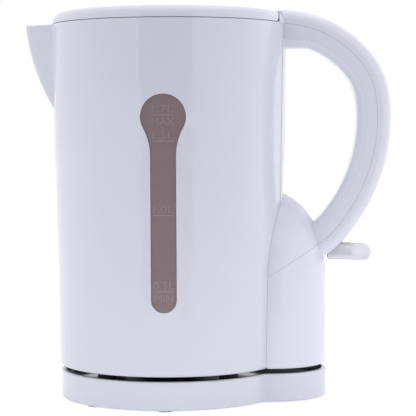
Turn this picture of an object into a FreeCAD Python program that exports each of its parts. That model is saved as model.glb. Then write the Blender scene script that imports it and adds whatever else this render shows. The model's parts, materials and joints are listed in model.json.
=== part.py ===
"""Electric kettle: a jug with hinged lid and switch lever that lifts off a lobed power base.

Millimetres. +X points to the handle, -Y to the water gauge and +Z up. The origin lies on the
jug's axis, on the surface that the base stands on.
"""
import FreeCAD
import Part
import math
import os
import Sketcher

# Driving dimensions
SIZES = {
    # Power base
    "foot_drop": 1.0,
    "foot_radius": 4.0,
    "foot_inset": 6.5,
    "stem_radius": 1.6,
    "base_radius": 63.0,
    "base_height": 15.8,
    "base_wall": 2.2,
    "base_edge": 1.2,
    "rim_wall": 2.6,
    "tray_depth": 5.0,
    "tray_thickness": 2.0,
    "notch_radius": 3.0,
    "plate_recess": 0.3,
    "plate_thickness": 2.0,
    "inlet_radius": 3.0,
    "hub_radius": 17.0,
    "hub_rise": 3.8,
    "hub_flange": 5.0,
    "flange_thickness": 2.5,
    "hub_floor": 1.5,
    "pin_bore": 2.6,
    "groove_inner": 8.2,
    "groove_outer": 11.0,
    "contact_thickness": 1.0,
    # Screws and bosses
    "screw_radius": 1.5,
    "screw_head_radius": 2.8,
    "screw_head_height": 0.9,
    "screw_length": 8.0,
    "boss_radius": 3.4,
    "base_screw_circle": 45.0,
    "jug_screw_circle": 58.4,
    # Jug
    "jug_gap": 2.6,
    "jug_height": 193.9,
    "jug_foot_radius": 64.0,
    "jug_top_radius": 67.0,
    "jug_wall": 2.5,
    "jug_edge": 2.0,
    "cover_recess": 1.0,
    "cover_thickness": 2.0,
    "pad_radius": 5.0,
    "pad_circle": 48.0,
    "post_radius": 2.5,
    "post_circle": 55.0,
    "heater_level": 17.6,
    "heater_thickness": 0.8,
    "heater_dish": 1.2,
    "dish_radius": 50.0,
    "seal_thickness": 1.2,
    "ledge_width": 4.0,
    "ledge_thickness": 2.5,
    "clamp_thickness": 2.2,
    "clamp_width": 8.0,
    "element_circle": 38.0,
    "element_radius": 3.2,
    "element_sweep": 300.0,
    "tail_radius": 1.6,
    "tail_length": 5.0,
    "tail_inset": 6.0,
    "control_radius": 24.0,
    "control_height": 13.0,
    "bimetal_radius": 6.0,
    "bimetal_thickness": 0.6,
    "bimetal_circle": 13.0,
    "skirt_wall": 1.8,
    "plug_pin_radius": 1.9,
    "plug_ring_wall": 1.2,
    # Spout and filter
    "spout_reach": 15.6,
    "spout_drop": 48.5,
    "spout_lip": 9.0,
    "spout_lip_flare": 1.2,
    "spout_root": 4.0,
    "spout_half_width": 17.0,
    "spout_nose": 5.0,
    "spout_toe": 2.0,
    "spout_wall": 2.2,
    "filter_half_width": 13.0,
    "filter_height": 36.0,
    "filter_top_gap": 9.2,
    "filter_thickness": 2.0,
    "filter_border": 3.0,
    "mesh_thickness": 0.6,
    "mesh_pitch": 3.0,
    "mesh_hole": 1.8,
    # Water gauge
    "gauge_circle": 12.2,
    "gauge_half_width": 6.85,
    "gauge_flare": 32.0,
    "gauge_drop": 53.0,
    "gauge_length": 105.7,
    "gauge_recess": 0.5,
    "gauge_lip": 3.0,
    "gauge_lip_thickness": 1.6,
    # Rear housing and handle
    "lobe_setback": 6.5,
    "lobe_radius": 32.5,
    "lobe_wall": 2.4,
    "dome_drop": 18.5,
    "dome_height": 48.0,
    "gate_height": 13.5,
    "handle_root": 4.0,
    "handle_thickness": 19.4,
    "handle_width": 27.0,
    "handle_round": 6.0,
    "handle_wall": 2.2,
    "root_drop": 2.8,
    "seam_offset": 1.6,
    "seam_gap": 0.1,
    "top_bend": 58.0,
    "top_turn": 52.0,
    "knee_bend": 36.5,
    "knee_turn": 31.0,
    "grip_bend": 94.0,
    "grip_turn": 49.0,
    "heel_bend": 42.5,
    "heel_turn": 17.3,
    "handle_tail": 40.5,
    "spine_half_width": 16.0,
    "spine_depth": 1.2,
    "spine_proud": 0.2,
    "spine_top_drop": 9.0,
    # Lid
    "lid_gap": 0.35,
    "lid_apex": 9.6,
    "lid_crown": 700.0,
    "lid_shoulder": 6.0,
    "lid_wall": 2.4,
    "chord_gap": 0.5,
    "chord_relief": 0.8,
    "hinge_barrel": 2.0,
    "hinge_pin_radius": 1.0,
    "knuckle_half_width": 9.0,
    "ear_width": 3.7,
    "liner_thickness": 2.0,
    "plug_depth": 8.0,
    "plug_wall": 2.0,
    "plug_gap": 2.2,
    "lid_seal_height": 3.0,
    "lid_seal_width": 1.1,
    "scoop_radius": 60.0,
    "scoop_depth": 1.2,
    "scoop_centre": 42.0,
    # Steam switch
    "pivot_back": 3.1,
    "pivot_drop": 4.4,
    "lever_reach": 36.0,
    "lever_thickness": 9.8,
    "lever_half_width": 7.0,
    "lever_sag": 1.6,
    "lever_round": 2.0,
    "lever_hub": 4.2,
    "lever_travel": 3.4,
    "cap_start": 11.0,
    "core_reach": 25.0,
    "core_thickness": 4.0,
    "core_half_width": 4.5,
    "lever_pin_radius": 1.2,
    "switch_depth": 6.0,
    "switch_half_width": 12.0,
    "switch_above": 8.0,
    "switch_below": 16.0,
    "switch_seat": 2.0,
    "switch_ear": 1.8,
    "lamp_radius": 2.5,
    "lamp_length": 5.0,
    "lamp_drop": 12.0,
    # Fits
    "slip": 0.3,
    "close_fit": 0.1,
}

# Levels and places that follow from the driving dimensions
PLACES = {
    "base_rim": "size.foot_drop + size.base_height",
    "tray_top": "base_rim - size.tray_depth",
    "tray_under": "tray_top - size.tray_thickness",
    "plate_under": "size.foot_drop + size.plate_recess",
    "plate_top": "plate_under + size.plate_thickness",
    "flange_under": "tray_under - size.flange_thickness",
    "groove_floor": "flange_under + size.hub_floor",
    "contact_top": "groove_floor + size.contact_thickness",
    "hub_top": "tray_top + size.hub_rise",
    "lobe_x": "size.jug_foot_radius - size.lobe_setback",
    "notch_span": "size.base_radius + size.notch_radius",
    "notch_reach": "size.lobe_radius + size.notch_radius",
    "notch_x": "(notch_span^2 - notch_reach^2 + lobe_x^2) / (2 * lobe_x)",
    "notch_y": "sqrt(notch_span^2 - notch_x^2)",
    "foot_circle": "size.base_radius - size.foot_inset",
    "jug_bottom": "base_rim + size.jug_gap",
    "lid_seam": "jug_bottom + size.jug_height",
    "taper": "(size.jug_top_radius - size.jug_foot_radius) / size.jug_height",
    "cover_under": "jug_bottom + size.cover_recess",
    "cover_top": "cover_under + size.cover_thickness",
    "heater_under": "jug_bottom + size.heater_level",
    "heater_top": "heater_under + size.heater_thickness",
    "ledge_under": "heater_top + size.seal_thickness",
    "ledge_top": "ledge_under + size.ledge_thickness",
    "clamp_under": "heater_under - size.clamp_thickness",
    "foot_bore": "size.jug_foot_radius - size.jug_wall",
    "heater_bore": "foot_bore + taper * (size.heater_level - size.clamp_thickness)",
    "ledge_bore": "foot_bore + taper * (ledge_under - jug_bottom)",
    "mouth_bore": "size.jug_top_radius - size.jug_wall",
    "control_top": "heater_under + size.heater_dish",
    "control_under": "control_top - size.control_height",
    "skirt_inner": "size.hub_radius + 2 * size.slip",
    "skirt_outer": "skirt_inner + size.skirt_wall",
    "groove_middle": "(size.groove_inner + size.groove_outer) / 2",
    "handle_x": "size.jug_top_radius - size.handle_root",
    "handle_z": "lid_seam - size.seam_offset",
    "turn_one": "size.top_turn * 1 deg",
    "turn_two": "turn_one + size.knee_turn * 1 deg",
    "turn_three": "turn_two + size.grip_turn * 1 deg",
    "turn_four": "turn_three + size.heel_turn * 1 deg",
    "bend_one_x": "handle_x + size.top_bend * sin(turn_one)",
    "bend_one_z": "handle_z + size.top_bend * (cos(turn_one) - 1)",
    "bend_two_x": "bend_one_x + size.knee_bend * (sin(turn_two) - sin(turn_one))",
    "bend_two_z": "bend_one_z + size.knee_bend * (cos(turn_two) - cos(turn_one))",
    "bend_three_x": "bend_two_x + size.grip_bend * (sin(turn_three) - sin(turn_two))",
    "bend_three_z": "bend_two_z + size.grip_bend * (cos(turn_three) - cos(turn_two))",
    "bend_four_x": "bend_three_x + size.heel_bend * (sin(turn_four) - sin(turn_three))",
    "bend_four_z": "bend_three_z + size.heel_bend * (cos(turn_four) - cos(turn_three))",
    "tail_x": "bend_four_x + size.handle_tail * cos(turn_four)",
    "tail_z": "bend_four_z - size.handle_tail * sin(turn_four)",
    "dome_z": "bend_four_z - size.dome_drop",
    "root_reach": "sqrt(2 * (size.top_bend - size.handle_thickness / 2) * size.root_drop)"
                  " + size.handle_round / 2",
    "gauge_z": "lid_seam - size.gauge_drop",
    "gauge_neck": "sqrt((size.gauge_circle + size.gauge_flare)^2"
                  " - (size.gauge_half_width + size.gauge_flare)^2)",
    "spout_foot": "lid_seam - size.spout_drop",
    "spout_bend": "lid_seam - size.spout_lip",
    "spout_tip": "size.jug_top_radius + size.spout_reach",
    "filter_top": "lid_seam - size.filter_top_gap",
    "filter_under": "filter_top - size.filter_height",
    "filter_wall": "foot_bore + taper * (filter_under - jug_bottom)",
    "filter_x": "sqrt(filter_wall^2 - size.filter_half_width^2) - 2 * size.slip",
    "chord_x": "handle_x - size.chord_gap",
    "lid_under": "lid_seam + size.lid_gap",
    "crown_centre": "lid_seam + size.lid_apex - size.lid_crown",
    "shoulder_x": "size.jug_top_radius - size.lid_shoulder",
    "shoulder_rise": "sqrt((size.lid_crown - size.lid_shoulder)^2 - shoulder_x^2)",
    "shoulder_z": "crown_centre + shoulder_rise",
    "hinge_x": "chord_x - size.hinge_barrel",
    "hinge_z": "crown_centre + sqrt(size.lid_crown^2 - hinge_x^2) - size.hinge_barrel",
    "plug_radius": "mouth_bore - size.plug_gap",
    "liner_chord": "hinge_x - size.hinge_barrel - 2 * size.slip",
    "lever_x": "bend_four_x - size.pivot_back",
    "lever_z": "bend_four_z - size.pivot_drop",
    "tip_x": "lever_x + size.lever_reach - size.lever_thickness / 2",
    "tip_z": "lever_z - size.lever_sag",
    "switch_wall": "size.jug_foot_radius + taper * (lever_z + size.switch_above - jug_bottom)",
    "switch_back": "switch_wall + size.switch_seat",
    "switch_front": "switch_back + size.switch_depth",
}

FOOT_ANGLES = (90, 135, -135, -90)
BASE_SCREW_ANGLES = (60, 150, -150, -60)
JUG_SCREW_ANGLES = (75, 180, -75)
POST_ANGLES = (45, 135, -135, -45)
FAR = "2 * size.jug_height"
PIN_HALF = "(size.knuckle_half_width + size.slip + size.ear_width)"

doc = FreeCAD.newDocument("kettle")


# Spreadsheets


def add_sheet(name, cells, formula):
    """Fill a sheet with named cells; formulas start with an equals sign."""
    sheet = doc.addObject("Spreadsheet::Sheet", name)
    for row, (alias, content) in enumerate(cells.items(), 1):
        sheet.set(f"A{row}", alias)
        sheet.set(f"B{row}", f"={content}" if formula else str(content))
        sheet.setAlias(f"B{row}", alias)
    doc.recompute()
    return sheet


add_sheet("size", SIZES, formula=False)
PLACE = add_sheet("place", PLACES, formula=True)


def value(expression):
    """Work an expression out to a plain number."""
    found = PLACE.evalExpression(expression)
    return float(getattr(found, "Value", found))


def bind(item, **expressions):
    """Bind properties to expressions; two underscores stand for a dot."""
    for name, expression in expressions.items():
        item.setExpression(name.replace("__", "."), expression)
    return item


# Sketches


def line(x, y):
    """Path step: a straight run to a point."""
    return (x, y, None, 0)


def arc(x, y, radius, turn):
    """Path step: an arc of under half a circle to a point; turn 1 is anticlockwise."""
    return (x, y, radius, turn)


def arc_geometry(start, end, radius, turn):
    """Arc between two points that bends to the given side."""
    chord = end - start
    half = chord.Length / 2
    rise = math.sqrt(max(radius * radius - half * half, 0.0))
    side = FreeCAD.Vector(-chord.y, chord.x, 0).normalize() * (rise * turn)
    centre = (start + end) * 0.5 + side
    first, last = (start, end) if turn > 0 else (end, start)
    begin = math.atan2(first.y - centre.y, first.x - centre.x)
    finish = math.atan2(last.y - centre.y, last.x - centre.x)
    circle = Part.Circle(centre, FreeCAD.Vector(0, 0, 1), radius)
    return Part.ArcOfCircle(circle, begin, finish)


def limit(sketch, kind, geometry, expression):
    """Add one dimension to a sketch and bind it to its expression."""
    index = sketch.addConstraint(Sketcher.Constraint(kind, *geometry, value(expression)))
    sketch.setExpression(f"Constraints[{index}]", expression)


def draw(sketch, path, closed=True):
    """Draw a path whose corners are all bound to expressions."""
    points = [FreeCAD.Vector(value(step[0]), value(step[1]), 0) for step in path]
    last = len(path) if closed else len(path) - 1
    edges = []
    for number in range(last):
        start, end = points[number], points[(number + 1) % len(path)]
        radius, turn = path[(number + 1) % len(path)][2:]
        if radius is None:
            sketch.addGeometry(Part.LineSegment(start, end))
        else:
            sketch.addGeometry(arc_geometry(start, end, value(radius), turn))
        edges.append((radius, (2, 1) if turn < 0 else (1, 2)))
    for number, (radius, ends) in enumerate(edges):
        if radius is not None:
            limit(sketch, "Radius", (number,), radius)
        limit(sketch, "DistanceX", (-1, 1, number, ends[0]), path[number][0])
        limit(sketch, "DistanceY", (-1, 1, number, ends[0]), path[number][1])
        after = number + 1
        if after < last or closed:
            after %= last
            joint = (number, ends[1], after, edges[after][1][0])
            sketch.addConstraint(Sketcher.Constraint("Coincident", *joint))
        else:
            limit(sketch, "DistanceX", (-1, 1, number, ends[1]), path[-1][0])
            limit(sketch, "DistanceY", (-1, 1, number, ends[1]), path[-1][1])


def draw_circles(sketch, centres, radius):
    """Draw equal circles whose centres and radius are bound to expressions."""
    for x, y in centres:
        centre = FreeCAD.Vector(value(x), value(y), 0)
        circle = Part.Circle(centre, FreeCAD.Vector(0, 0, 1), value(radius))
        number = sketch.addGeometry(circle)
        limit(sketch, "Radius", (number,), radius)
        limit(sketch, "DistanceX", (-1, 1, number, 3), x)
        limit(sketch, "DistanceY", (-1, 1, number, 3), y)


def new_body(name):
    return doc.addObject("PartDesign::Body", name)


def new_sketch(body, plane, lift=None):
    """Empty sketch on one of the body's own origin planes, lifted along its normal."""
    sketch = body.newObject("Sketcher::SketchObject", f"{body.Name}_sketch")
    support = [item for item in body.Origin.OriginFeatures if item.Role == plane]
    sketch.AttachmentSupport = (support[0], [""])
    sketch.MapMode = "FlatFace"
    if lift:
        bind(sketch, AttachmentOffset__Base__z=lift)
    return sketch


def feature(body, kind, sketch, length, reverse=False):
    """Pad or Pocket of a sketch."""
    made = body.newObject(f"PartDesign::{kind}", f"{body.Name}_{kind.lower()}")
    made.Profile = sketch
    made.Reversed = reverse
    bind(made, Length=length)
    doc.recompute()
    return made


def outline_feature(body, kind, path, lift, length, reverse=False, plane="XY_Plane"):
    """Pad or Pocket of a closed path on a lifted origin plane."""
    sketch = new_sketch(body, plane, lift)
    draw(sketch, path)
    return feature(body, kind, sketch, length, reverse)


def circle_feature(body, kind, centres, radius, lift, length, reverse=False):
    """Pad or Pocket of equal circles on the lifted ground plane."""
    sketch = new_sketch(body, "XY_Plane", lift)
    draw_circles(sketch, centres, radius)
    return feature(body, kind, sketch, length, reverse)


def side_prism(name, path, half_width):
    """Closed path in the XZ plane, padded to both sides."""
    body = new_body(name)
    sketch = new_sketch(body, "XZ_Plane")
    draw(sketch, path)
    pad = body.newObject("PartDesign::Pad", f"{name}_pad")
    pad.Profile = sketch
    pad.SideType = "Symmetric"
    bind(pad, Length=f"2 * ({half_width})")
    doc.recompute()
    return body


def revolve(name, path, sweep=None):
    """Closed path in the XZ plane, turned about the Z axis."""
    body = new_body(name)
    sketch = new_sketch(body, "XZ_Plane")
    draw(sketch, path)
    turned = body.newObject("PartDesign::Revolution", f"{name}_turn")
    turned.Profile = sketch
    turned.ReferenceAxis = (sketch, ["V_Axis"])
    turned.Angle = 360
    if sweep:
        bind(turned, Angle=sweep)
    doc.recompute()
    return body


def round_edges(body, radius, chosen):
    """Fillet those edges of a body's tip that the test picks."""
    tip = body.Tip
    names = [f"Edge{n}" for n, edge in enumerate(tip.Shape.Edges, 1) if chosen(edge)]
    fillet = body.newObject("PartDesign::Fillet", f"{body.Name}_fillet")
    fillet.Base = (tip, names)
    bind(fillet, Radius=radius)
    doc.recompute()


# Part solids and booleans


def place(item, x="0", y="0", z="0"):
    return bind(item, Placement__Base__x=x, Placement__Base__y=y, Placement__Base__z=z)


def box(x, y, z, length, width, height):
    item = doc.addObject("Part::Box", "block")
    bind(item, Length=length, Width=width, Height=height)
    return place(item, x, y, z)


def post(x, y, z, radius, height):
    item = doc.addObject("Part::Cylinder", "post")
    bind(item, Radius=radius, Height=height)
    return place(item, x, y, z)


def cross_rod(x, y, z, radius, length):
    """Cylinder that runs along +Y from the point."""
    item = doc.addObject("Part::Cylinder", "rod")
    item.Placement.Rotation = FreeCAD.Rotation(FreeCAD.Vector(1, 0, 0), -90)
    bind(item, Radius=radius, Height=length)
    return place(item, x, y, z)


def forward_rod(x, y, z, radius, length):
    """Cylinder that runs along +X from the point."""
    item = doc.addObject("Part::Cylinder", "rod")
    item.Placement.Rotation = FreeCAD.Rotation(FreeCAD.Vector(0, 1, 0), 90)
    bind(item, Radius=radius, Height=length)
    return place(item, x, y, z)


def jug_cone(growth):
    """The jug's tapered outer form, grown outwards."""
    item = doc.addObject("Part::Cone", "jug_form")
    bind(item, Radius1=f"size.jug_foot_radius + {growth}", Height="size.jug_height")
    bind(item, Radius2=f"size.jug_top_radius + {growth}")
    return place(item, z="place.jug_bottom")


def fuse(*items):
    made = doc.addObject("Part::MultiFuse", "union")
    made.Shapes = list(items)
    doc.recompute()
    return made


def common(*items):
    made = doc.addObject("Part::MultiCommon", "overlap")
    made.Shapes = list(items)
    doc.recompute()
    return made


def cut(base, *tools):
    made = doc.addObject("Part::Cut", "remainder")
    made.Base = base
    made.Tool = tools[0] if len(tools) == 1 else fuse(*tools)
    doc.recompute()
    return made


def group(*items):
    made = doc.addObject("Part::Compound", "set")
    made.Links = list(items)
    doc.recompute()
    return made


NODES = []


def node(name, item):
    """Hand a finished sub-part in under its own name."""
    item.Label = name
    NODES.append(item)
    return item


def on_circle(radius, angles):
    """Centres on a circle about the Z axis, as expressions."""
    return [(f"({radius}) * cos({a} deg)", f"({radius}) * sin({a} deg)") for a in angles]


def screw(x, y, head_under):
    """Pan-head screw driven upwards; the head's upper face seats on the sheet above it."""
    head = post(x, y, head_under, "size.screw_head_radius", "size.screw_head_height")
    shank_start = f"{head_under} + size.screw_head_height"
    shank = post(x, y, shank_start, "size.screw_radius", "size.screw_length")
    return fuse(head, shank)


# Power base


def lobed_path(inset):
    """Round base outline with a rear lobe and hollow blends between them."""
    ring = f"(size.base_radius - ({inset}))"
    lobe = f"(size.lobe_radius - ({inset}))"
    hollow = f"size.notch_radius + ({inset})"
    ring_x = f"place.notch_x * {ring} / place.notch_span"
    ring_y = f"place.notch_y * {ring} / place.notch_span"
    lobe_x = f"place.lobe_x + (place.notch_x - place.lobe_x) * {lobe} / place.notch_reach"
    lobe_y = f"place.notch_y * {lobe} / place.notch_reach"
    return [
        arc(lobe_x, f"-({lobe_y})", hollow, -1),
        arc(f"place.lobe_x + {lobe}", "0", lobe, 1),
        arc(lobe_x, lobe_y, lobe, 1),
        arc(ring_x, ring_y, hollow, -1),
        arc(f"-{ring}", "0", ring, 1),
        arc(ring_x, f"-({ring_y})", ring, 1),
    ]


BASE_SCREWS = on_circle("size.base_screw_circle", BASE_SCREW_ANGLES)
LOBE_FOOT_Y = "(size.lobe_radius - size.foot_inset) / 2"
FEET = on_circle("place.foot_circle", FOOT_ANGLES) + [
    ("place.lobe_x + size.lobe_radius / 2", LOBE_FOOT_Y),
    ("place.lobe_x + size.lobe_radius / 2", f"-({LOBE_FOOT_Y})"),
]


def make_base_top():
    """Upper shell: skirt, raised rim, tray floor and screw bosses."""
    body = new_body("base_shell")
    outline_feature(body, "Pad", lobed_path("0"), "size.foot_drop", "size.base_height")
    ends = [value("size.foot_drop"), value("place.base_rim")]

    def outer(edge):
        heights = [vertex.Point.z for vertex in edge.Vertexes]
        return max(heights) - min(heights) < 0.1 and min(abs(heights[0] - z) for z in ends) < 0.1

    round_edges(body, "size.base_edge", outer)
    outline_feature(body, "Pocket", lobed_path("size.rim_wall"), "place.base_rim", "size.tray_depth")
    hollow = "place.tray_under - size.foot_drop"
    outline_feature(body, "Pocket", lobed_path("size.base_wall"), "size.foot_drop", hollow, True)
    boss = "place.tray_under - place.plate_top"
    circle_feature(body, "Pad", BASE_SCREWS, "size.boss_radius", "place.plate_top", boss)
    pilot = "size.screw_radius + size.close_fit / 2"
    circle_feature(body, "Pocket", BASE_SCREWS, pilot, "place.plate_top", boss, True)
    opening = "size.hub_radius + size.slip"
    circle_feature(body, "Pocket", [("0", "0")], opening, "place.base_rim", "size.base_height")
    inlet_z = "place.plate_top + size.inlet_radius + size.slip"
    inlet_y = "size.base_radius - 2 * size.base_wall"
    inlet = cross_rod("0", inlet_y, inlet_z, "size.inlet_radius", "4 * size.base_wall")
    return node("base_top", cut(body, inlet))


def make_base_bottom():
    """Closing plate with a ring that carries the socket's flange."""
    body = new_body("base_bottom")
    inset = "size.base_wall + size.slip"
    outline_feature(body, "Pad", lobed_path(inset), "place.plate_under", "size.plate_thickness")
    rise = "place.flange_under - place.plate_top"
    circle_feature(body, "Pad", [("0", "0")], "size.hub_radius + size.hub_flange", "place.plate_top", rise)
    circle_feature(body, "Pocket", [("0", "0")], "size.hub_radius", "place.flange_under", rise)
    through = "size.screw_radius + size.slip"
    circle_feature(body, "Pocket", BASE_SCREWS, through, "place.plate_top", "size.plate_thickness")
    stem = "size.stem_radius + size.close_fit"
    circle_feature(body, "Pocket", FEET, stem, "place.plate_top", "size.plate_thickness")
    return node("base_bottom", body)


def make_base_fittings():
    """Feet, screws and the round connector in the tray's centre."""
    feet = []
    for x, y in FEET:
        disc = post(x, y, "0", "size.foot_radius", "place.plate_under")
        stem = post(x, y, "place.plate_under", "size.stem_radius", "size.plate_thickness")
        feet.append(fuse(disc, stem))
    node("base_feet", group(*feet))
    head_under = "place.plate_under - size.screw_head_height"
    node("base_screws", group(*[screw(x, y, head_under) for x, y in BASE_SCREWS]))
    rim = "size.hub_radius + size.hub_flange"
    socket = revolve("base_socket", [
        line("0", "place.flange_under"),
        line(rim, "place.flange_under"),
        line(rim, "place.tray_under"),
        line("size.hub_radius", "place.tray_under"),
        line("size.hub_radius", "place.hub_top"),
        line("size.groove_outer", "place.hub_top"),
        line("size.groove_outer", "place.groove_floor"),
        line("size.groove_inner", "place.groove_floor"),
        line("size.groove_inner", "place.hub_top"),
        line("size.pin_bore", "place.hub_top"),
        line("size.pin_bore", "place.groove_floor"),
        line("0", "place.groove_floor"),
    ])
    node("base_socket", socket)
    pin_pad = post("0", "0", "place.groove_floor", "size.pin_bore - size.close_fit", "size.contact_thickness")
    inner, outer = "size.groove_inner + size.close_fit", "size.groove_outer - size.close_fit"
    ring = cut(post("0", "0", "place.groove_floor", outer, "size.contact_thickness"),
               post("0", "0", "place.groove_floor", inner, "size.contact_thickness"))
    node("base_contacts", group(pin_pad, ring))


# Jug


def handle_corners(offset):
    """Ends of the handle's bends, moved outwards from its middle line."""
    corners = [("place.handle_x", f"place.handle_z + {offset}")]
    for word in ("one", "two", "three", "four"):
        x = f"place.bend_{word}_x + ({offset}) * sin(place.turn_{word})"
        z = f"place.bend_{word}_z + ({offset}) * cos(place.turn_{word})"
        corners.append((x, z))
    x = f"place.tail_x + ({offset}) * sin(place.turn_four)"
    z = f"place.tail_z + ({offset}) * cos(place.turn_four)"
    return corners + [(x, z)]


def handle_path(offset):
    """The handle's run from the lid down into the rear housing."""
    start, one, two, three, four, tail = handle_corners(offset)
    bends = ("size.top_bend", "size.knee_bend", "size.grip_bend", "size.heel_bend")
    path = [line(*start)]
    for corner, bend in zip((one, two, three, four), bends):
        path.append(arc(*corner, f"{bend} + {offset}", -1))
    return path + [line(*tail)]


def rounded_section(inset):
    """Rounded oblong across the handle, seen along the handle's run."""
    wide = f"(size.handle_width / 2 - {inset})"
    tall = f"(size.handle_thickness / 2 - {inset})"
    radius = f"(size.handle_round - {inset})"
    low, high = f"place.handle_z - {tall}", f"place.handle_z + {tall}"
    return [
        arc(f"{radius} - {wide}", low, radius, 1),
        line(f"{wide} - {radius}", low),
        arc(wide, f"{low} + {radius}", radius, 1),
        line(wide, f"{high} - {radius}"),
        arc(f"{wide} - {radius}", high, radius, 1),
        line(f"{radius} - {wide}", high),
        arc(f"-{wide}", f"{high} - {radius}", radius, 1),
        line(f"-{wide}", f"{low} + {radius}"),
    ]


def handle_bar(name, inset):
    """Handle section swept along its run."""
    body = new_body(name)
    section = new_sketch(body, "YZ_Plane", "place.handle_x")
    draw(section, rounded_section(inset))
    spine = new_sketch(body, "XZ_Plane")
    draw(spine, handle_path("0"), closed=False)
    doc.recompute()
    pipe = body.newObject("PartDesign::AdditivePipe", f"{name}_pipe")
    pipe.Profile = section
    pipe.Spine = (spine, [f"Edge{n}" for n in range(1, len(spine.Shape.Edges) + 1)])
    doc.recompute()
    return body


def handle_root(name):
    """Deeper start of the handle beside the jug, which makes the top of its opening level."""
    wide = "(size.handle_width / 2)"
    low = "(place.handle_z - size.handle_thickness / 2 - size.root_drop)"
    radius = "size.handle_round"
    body = new_body(name)
    outline_feature(body, "Pad", [
        arc(f"{radius} - {wide}", low, radius, 1),
        line(f"{wide} - {radius}", low),
        arc(wide, f"{low} + {radius}", radius, 1),
        line(wide, "place.handle_z"),
        line(f"-{wide}", "place.handle_z"),
        line(f"-{wide}", f"{low} + {radius}"),
    ], "place.handle_x", "place.root_reach", plane="YZ_Plane")
    return body


def lobe_form(name, inset, edge):
    """Rear housing: an upright round lobe under a half ellipsoid."""
    radius = f"(size.lobe_radius - {inset})"
    column = revolve(name, [
        line("0", "place.jug_bottom"),
        line(f"{radius} - {edge}", "place.jug_bottom"),
        arc(radius, f"place.jug_bottom + {edge}", edge, 1),
        line(radius, "place.dome_z"),
        line("0", "place.dome_z"),
    ])
    place(column, "place.lobe_x")
    dome = doc.addObject("Part::Ellipsoid", f"{name}_dome")
    dome.Angle1 = 0
    dome.Angle2 = 90
    bind(dome, Radius1=f"size.dome_height - {inset}", Radius2=radius, Radius3=radius)
    place(dome, "place.lobe_x", "0", "place.dome_z")
    return fuse(column, dome)


def seam_side(name, offset):
    """Everything on the outer side of the handle's seam."""
    start, tail = handle_corners(offset)[0], handle_corners(offset)[-1]
    path = [line("0", start[1])] + handle_path(offset)
    path += [line(tail[0], "0"), line(FAR, "0"), line(FAR, FAR), line("0", FAR)]
    return side_prism(name, path, "2 * size.lobe_radius")


def gauge_path(growth):
    """Keyhole outline of the water gauge: a round head that flares into a strip."""
    head = f"(size.gauge_circle + {growth})"
    half = f"(size.gauge_half_width + {growth})"
    flare = f"(size.gauge_flare - {growth})"
    share = f"{head} / (size.gauge_circle + size.gauge_flare)"
    touch_x = f"(size.gauge_half_width + size.gauge_flare) * {share}"
    touch_z = f"place.gauge_z - place.gauge_neck * {share}"
    neck_z = "place.gauge_z - place.gauge_neck"
    foot_z = "place.gauge_z - size.gauge_length + size.gauge_half_width"
    return [
        arc("0", f"place.gauge_z + {head}", head, 1),
        arc(f"-{head}", "place.gauge_z", head, 1),
        arc(f"-{touch_x}", touch_z, head, 1),
        arc(f"-{half}", neck_z, flare, -1),
        line(f"-{half}", foot_z),
        arc("0", f"{foot_z} - {half}", half, 1),
        arc(half, foot_z, half, 1),
        line(half, neck_z),
        arc(touch_x, touch_z, flare, -1),
        arc(head, "place.gauge_z", head, 1),
    ]


def gauge_prism(name, growth):
    body = new_body(name)
    outline_feature(body, "Pad", gauge_path(growth), None, "2 * size.jug_top_radius", plane="XZ_Plane")
    return body


def spout_section(body, height, nose_x, nose, half_width, root):
    """One level of the spout: a beak with a round nose."""
    centre = f"({nose_x} - {nose})"
    run = f"({centre} - {root})"
    lean = f"(({half_width} - {nose}) / {run})"
    sine = f"({lean} / sqrt(1 + {lean}^2))"
    cosine = f"(1 / sqrt(1 + {lean}^2))"
    touch_x = f"-({centre} + {nose} * {sine})"
    touch_y = f"{nose} * {cosine}"
    wide = f"{touch_y} + ({centre} + {nose} * {sine} - {root}) * {lean}"
    sketch = new_sketch(body, "XY_Plane", height)
    draw(sketch, [
        line(f"-{root}", wide),
        line(touch_x, touch_y),
        arc(f"-{nose_x}", "0", nose, 1),
        arc(touch_x, f"-({touch_y})", nose, 1),
        line(f"-{root}", f"-({wide})"),
    ])
    return sketch


def spout_form(name, inset, top):
    """Spout that grows from nothing on the wall to the beak at the rim."""
    body = new_body(name)
    root = "(place.foot_bore - size.spout_root)"
    toe = f"(size.jug_foot_radius + place.taper * (place.spout_foot - place.jug_bottom) - {inset})"
    bend_x = f"(place.spout_tip - size.spout_lip_flare - {inset})"
    tip_x = f"(place.spout_tip - {inset})"
    nose = f"(size.spout_nose - {inset})"
    half = f"(size.spout_half_width - {inset})"
    foot_z = f"place.spout_foot + 2 * {inset}"
    sections = [
        spout_section(body, foot_z, toe, "size.spout_toe", "(2 * size.spout_toe)", root),
        spout_section(body, "place.spout_bend", bend_x, nose, half, root),
        spout_section(body, top, tip_x, nose, half, root),
    ]
    doc.recompute()
    loft = body.newObject("PartDesign::AdditiveLoft", f"{name}_loft")
    loft.Profile = sections[0]
    loft.Sections = sections[1:]
    doc.recompute()
    return body


def make_vessel():
    """Tapered wall with a rounded foot and the ledge that the heater seals against."""
    foot, top = "size.jug_foot_radius", "size.jug_top_radius"
    ledge_bore = "place.ledge_bore - size.ledge_width"
    ledge_rise = "place.taper * size.ledge_thickness"
    return revolve("vessel", [
        line("place.foot_bore", "place.jug_bottom"),
        line(f"{foot} - size.jug_edge", "place.jug_bottom"),
        arc(f"{foot} + place.taper * size.jug_edge", "place.jug_bottom + size.jug_edge", "size.jug_edge", 1),
        line(top, "place.lid_seam"),
        line("place.mouth_bore", "place.lid_seam"),
        line(f"place.ledge_bore + {ledge_rise}", "place.ledge_top"),
        line(ledge_bore, "place.ledge_top"),
        line(ledge_bore, "place.ledge_under"),
        line("place.ledge_bore", "place.ledge_under"),
    ])


JUG_SCREWS = on_circle("size.jug_screw_circle", JUG_SCREW_ANGLES)
COVER_SCREW = ("place.lobe_x + 2 * size.lobe_radius / 3", "0")


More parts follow.
